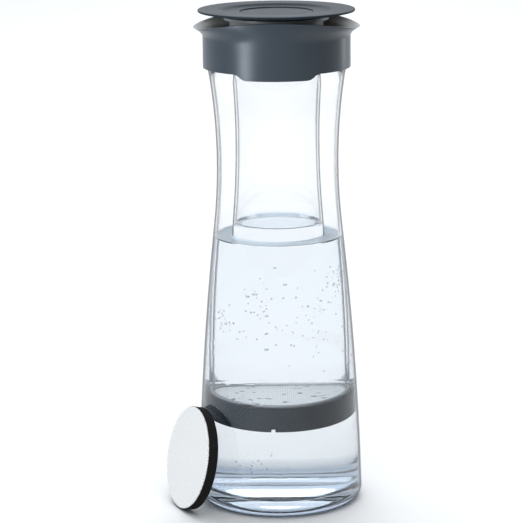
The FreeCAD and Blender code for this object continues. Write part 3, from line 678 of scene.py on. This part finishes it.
# Painted shade: a grey middle and a near-black ring round the edge of each bubble.
BUBBLE_PAINTED_SHADE = (0.80, 0.83, 0.87)
BUBBLE_PAINTED_RING = (0.02, 0.03, 0.04)
BUBBLE_TURN = (0.10, 0.65)
NO_SHARP_EDGE = 180


def bubbles():
    """All bubbles as one form, with none just under the water line."""
    dice = random.Random(BUBBLE_SEED)
    form = bmesh.new()
    for bearing, height, bearing_spread, height_spread, count in BUBBLE_GROUPS:
        for _ in range(count):
            turn = math.radians(dice.gauss(bearing, bearing_spread))
            level = dice.gauss(height, height_spread)
            radius = dice.uniform(*BUBBLE_RADII)
            if level > OUTER_LEVEL - BUBBLE_FREE:
                continue
            wall, facing = cast("carafe", (0, 0, level), (math.sin(turn), -math.cos(turn), 0))
            seat = Matrix.Translation(wall + facing * radius)
            bmesh.ops.create_uvsphere(
                form, u_segments=BUBBLE_SEGMENTS, v_segments=BUBBLE_RINGS, radius=radius, matrix=seat)
    return form


# The bubbles' look is painted shade on a finish that hardly bends light.
shaded_bubble = clear_solid("shaded_bubble", BUBBLE_INDEX, BUBBLE_PAINTED_SHADE, BUBBLE_PAINTED_RING, BUBBLE_TURN)
new_piece("air_bubbles", bubbles(), "carafe", (shaded_bubble,), sharp=NO_SHARP_EDGE)

# %% [markdown]
# ## The filter discs
#
# Each disc is a black core between two white woven faces. The weave is fine, about a millimetre from
# thread to thread, so a picture of it is not enough close up: the faces are grids whose points rise and
# fall with the crossing threads. The grid carries a UV map in threads, so the pores between the threads
# stay in step with the relief on a disc that leans.

# %% Woven faces
THREAD_PITCH = 0.95 * MM
THREAD_RELIEF = 0.10 * MM
SHEET_THICKNESS = 0.08 * MM
CELLS_PER_THREAD = 2
RIM_WIDTH = 0.9 * MM
RIM_SHARES = ((0, 0.4), (0.35, 0.92), (1.0, 1.0), (1.6, 0.7))
WEAVE_SHARP_DEGREES = 60


def disc_frame(node, other):
    """Middle, outward direction, radius and height of a disc's face, outward from its other face."""
    low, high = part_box(node)
    other_low, other_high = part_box(other)
    middle = (Vector(low) + Vector(high)) / 2
    outward = (middle - (Vector(other_low) + Vector(other_high)) / 2).normalized()
    radius = 0
    lift = 0
    for vert in nodes[node].data.vertices:
        offset = vert.co - middle
        height = offset.dot(outward)
        radius = max(radius, (offset - outward * height).length)
        lift = max(lift, height)
    return middle, outward, radius, lift


def verts_of(geometry):
    """The points in what a bmesh operator has made."""
    return [item for item in geometry if isinstance(item, bmesh.types.BMVert)]


def ring_of(edges, verts):
    """The edges that join two of some points."""
    return [edge for edge in edges if edge.verts[0] in verts and edge.verts[1] in verts]


def woven_sheet(form, radius, lift):
    """A thin sheet that rises and falls with the crossing threads."""
    cells = int(2 * radius / THREAD_PITCH * CELLS_PER_THREAD)
    bmesh.ops.create_grid(form, x_segments=cells, y_segments=cells, size=radius)
    outside = [vert for vert in form.verts if vert.co.xy.length > radius - RIM_WIDTH / 2]
    bmesh.ops.delete(form, geom=outside, context="VERTS")
    for vert in form.verts:
        across = math.pi * vert.co.x / THREAD_PITCH
        along = math.pi * vert.co.y / THREAD_PITCH
        vert.co.z = lift - THREAD_RELIEF + THREAD_RELIEF * math.sin(across) * math.sin(along)
    grown = bmesh.ops.extrude_face_region(form, geom=form.faces[:], use_keep_orig=True)["geom"]
    bmesh.ops.translate(form, verts=verts_of(grown), vec=(0, 0, -SHEET_THICKNESS))


def welded_rim(form, radius, lift):
    """A smooth closed ring that holds the edge of the sheet."""
    rim = bmesh.ops.create_circle(form, segments=ROUND_STEPS, radius=radius)["verts"]
    bmesh.ops.translate(form, verts=rim, vec=(0, 0, -lift))
    first_ring = ring = ring_of(form.edges, rim)
    for inset, height in RIM_SHARES:
        grown = bmesh.ops.extrude_edge_only(form, edges=ring)["geom"]
        rim = verts_of(grown)
        ring = ring_of([item for item in grown if isinstance(item, bmesh.types.BMEdge)], rim)
        for vert in rim:
            vert.co.xy = vert.co.xy.normalized() * (radius - inset * RIM_WIDTH)
            vert.co.z = lift * height
    bmesh.ops.bridge_loops(form, edges=first_ring + ring)


def woven_face(name, node, other, body, material):
    """A woven sheet with a smooth welded rim, in the place of a disc's face."""
    middle, outward, radius, lift = disc_frame(node, other)
    form = bmesh.new()
    threads = form.loops.layers.uv.new("threads")
    woven_sheet(form, radius, lift)
    welded_rim(form, radius, lift)
    for face in form.faces:
        for loop in face.loops:
            loop[threads].uv = loop.vert.co.xy / THREAD_PITCH
    bmesh.ops.recalc_face_normals(form, faces=form.faces)
    turn = outward.to_track_quat("Z", "Y").to_matrix().to_4x4()
    bmesh.ops.transform(form, matrix=Matrix.Translation(middle) @ turn, verts=form.verts)
    sheet = new_piece(
        name, form, body, (material,), (node,), sharp=WEAVE_SHARP_DEGREES)
    solid_pieces.objects.link(sheet)


print("cells from thread to thread:", CELLS_PER_THREAD)

# %% [markdown]
# The threads are white and the pores between them darker. The wet weave of the fitted disc lies on its
# core in places, so dark flecks show through it. The dry weave of the spare disc is a darker copy of the
# same white threads: painted shade that holds it down in the soft box's light.

# %% Weave finishes
# The dry thread and pore colours are darker than the wet ones: painted shade on the same white weave.
DRY_THREAD_SHADED = (0.58, 0.565, 0.55)
DRY_PORE_SHADED = (0.10, 0.097, 0.095)
WET_THREAD = (0.95, 0.95, 0.94)
WET_PORE = (0.36, 0.37, 0.37)
PORE_RANGE = (-1.0, -0.15)
CORE_SHOWING = (0.05, 0.055, 0.06)
FLECK_SCALE = 210.0
FLECK_DETAIL = 4.0
FLECK_RANGE = (0.62, 0.69)
FIBRE_SCALE = 900.0
WEAVE_ROUGHNESS = (0.55, 0.75)


def thread_wave(tree, threads):
    """A wave that rises on one thread and falls on the next."""
    angle = tree.nodes.new("ShaderNodeMath")
    angle.operation = "MULTIPLY"
    angle.inputs[1].default_value = math.pi
    tree.links.new(threads, angle.inputs[0])
    wave = tree.nodes.new("ShaderNodeMath")
    wave.operation = "SINE"
    tree.links.new(angle.outputs[0], wave.inputs[0])
    return wave.outputs[0]


def white_weave(name, thread, pore, flecked):
    """White threads with small pores, and dark flecks where the core shows through."""
    material, tree, output = node_material(name)
    shader = principled(tree, output)
    threads = axes_of(tree, "UV")
    crossing = tree.nodes.new("ShaderNodeMath")
    crossing.operation = "MULTIPLY"
    tree.links.new(thread_wave(tree, threads["X"]), crossing.inputs[0])
    tree.links.new(thread_wave(tree, threads["Y"]), crossing.inputs[1])
    hollow = spread(tree, crossing.outputs[0], 1, 0, *PORE_RANGE)
    colour = between(tree, hollow, thread, pore)
    if flecked:
        flecks = spread(tree, pattern(tree, FLECK_SCALE, FLECK_DETAIL), 0, 1, *FLECK_RANGE)
        colour = laid_over(tree, colour, flecks, CORE_SHOWING)
    tree.links.new(colour, shader.inputs["Base Color"])
    fibres = spread(tree, pattern(tree, FIBRE_SCALE), *WEAVE_ROUGHNESS)
    tree.links.new(fibres, shader.inputs["Roughness"])
    return material


dry_shaded_weave = white_weave("dry_shaded_weave", DRY_THREAD_SHADED, DRY_PORE_SHADED, False)
wet_weave = white_weave("wet_weave", WET_THREAD, WET_PORE, True)
DISCS = (
    # disc, body it moves with, finish of its faces
    ("spare_disc", "spare_disc", dry_shaded_weave),
    ("fitted_disc", "filter_cage", wet_weave),
)
for disc, body, weave in DISCS:
    woven_face(f"{disc}_top_weave", f"{disc}_top_mesh", f"{disc}_base_mesh", body, weave)
    woven_face(f"{disc}_base_weave", f"{disc}_base_mesh", f"{disc}_top_mesh", body, weave)

# %% [markdown]
# ## Black core and band
#
# The core is pressed granules and the band round it is a matt black wrap. Cells make the granules, and a
# rough, slightly uneven black keeps the band from looking like paint.

# %% Black pieces
BLACK_DARK = (0.005, 0.005, 0.006)
BLACK_LIGHT = (0.013, 0.012, 0.012)
BLACK_DRIFT_SCALE = 300.0
BLACK_ROUGHNESS = (0.75, 0.95)
BLACK_GLOSS = 0.08
CELL_DETAIL = 1.0
CELL_STRENGTH = 0.5
GRANULE_SCALE = 1300.0
GRANULE_DEPTH = 0.3 * MM
WRAP_SCALE = 2200.0
WRAP_DEPTH = 0.08 * MM


def pressed_granules(name, scale, depth):
    """Matt black with the relief of fine granules."""
    material, tree, output = node_material(name)
    shader = principled(tree, output)
    grains = pattern(tree, scale, CELL_DETAIL, "ShaderNodeTexVoronoi")
    drift = pattern(tree, BLACK_DRIFT_SCALE)
    tree.links.new(between(tree, grains, BLACK_DARK, BLACK_LIGHT), shader.inputs["Base Color"])
    tree.links.new(spread(tree, drift, *BLACK_ROUGHNESS), shader.inputs["Roughness"])
    shader.inputs["Specular IOR Level"].default_value = BLACK_GLOSS
    raise_surface(tree, shader, grains, depth, CELL_STRENGTH)
    return material


granules = pressed_granules("carbon_granules", GRANULE_SCALE, GRANULE_DEPTH)
black_wrap = pressed_granules("black_wrap", WRAP_SCALE, WRAP_DEPTH)
for disc in ("fitted_disc", "spare_disc"):
    finish_node(f"{disc}_core", granules)
    finish_node(f"{disc}_band", black_wrap)
print("black finishes:", granules.name, black_wrap.name)

# %% [markdown]
# ## Seals
#
# The three seals are soft grey silicone. A little light enters it, so it looks waxy and not painted.

# %% Seals
SEALS = ("collar_seal", "cage_seal", "lid_seal")
SILICONE_DARK = (0.36, 0.37, 0.38)
SILICONE_LIGHT = (0.44, 0.45, 0.46)
SILICONE_ROUGHNESS = (0.42, 0.6)
BLOOM_SCALE = 120.0
BLOOM_DETAIL = 3.0
LIGHT_ENTERING = 0.15
LIGHT_DEPTH = 1 * MM


def grey_silicone():
    """Soft translucent rubber with a faint bloom."""
    material, tree, output = node_material("grey_silicone")
    shader = principled(tree, output)
    bloom = pattern(tree, BLOOM_SCALE, BLOOM_DETAIL)
    tree.links.new(between(tree, bloom, SILICONE_DARK, SILICONE_LIGHT), shader.inputs["Base Color"])
    tree.links.new(spread(tree, bloom, *SILICONE_ROUGHNESS), shader.inputs["Roughness"])
    shader.inputs["Subsurface Weight"].default_value = LIGHT_ENTERING
    shader.inputs["Subsurface Radius"].default_value = (LIGHT_DEPTH, LIGHT_DEPTH, LIGHT_DEPTH)
    return material


silicone = grey_silicone()
for name in SEALS:
    finish_node(name, silicone)
print("silicone seals:", SEALS)
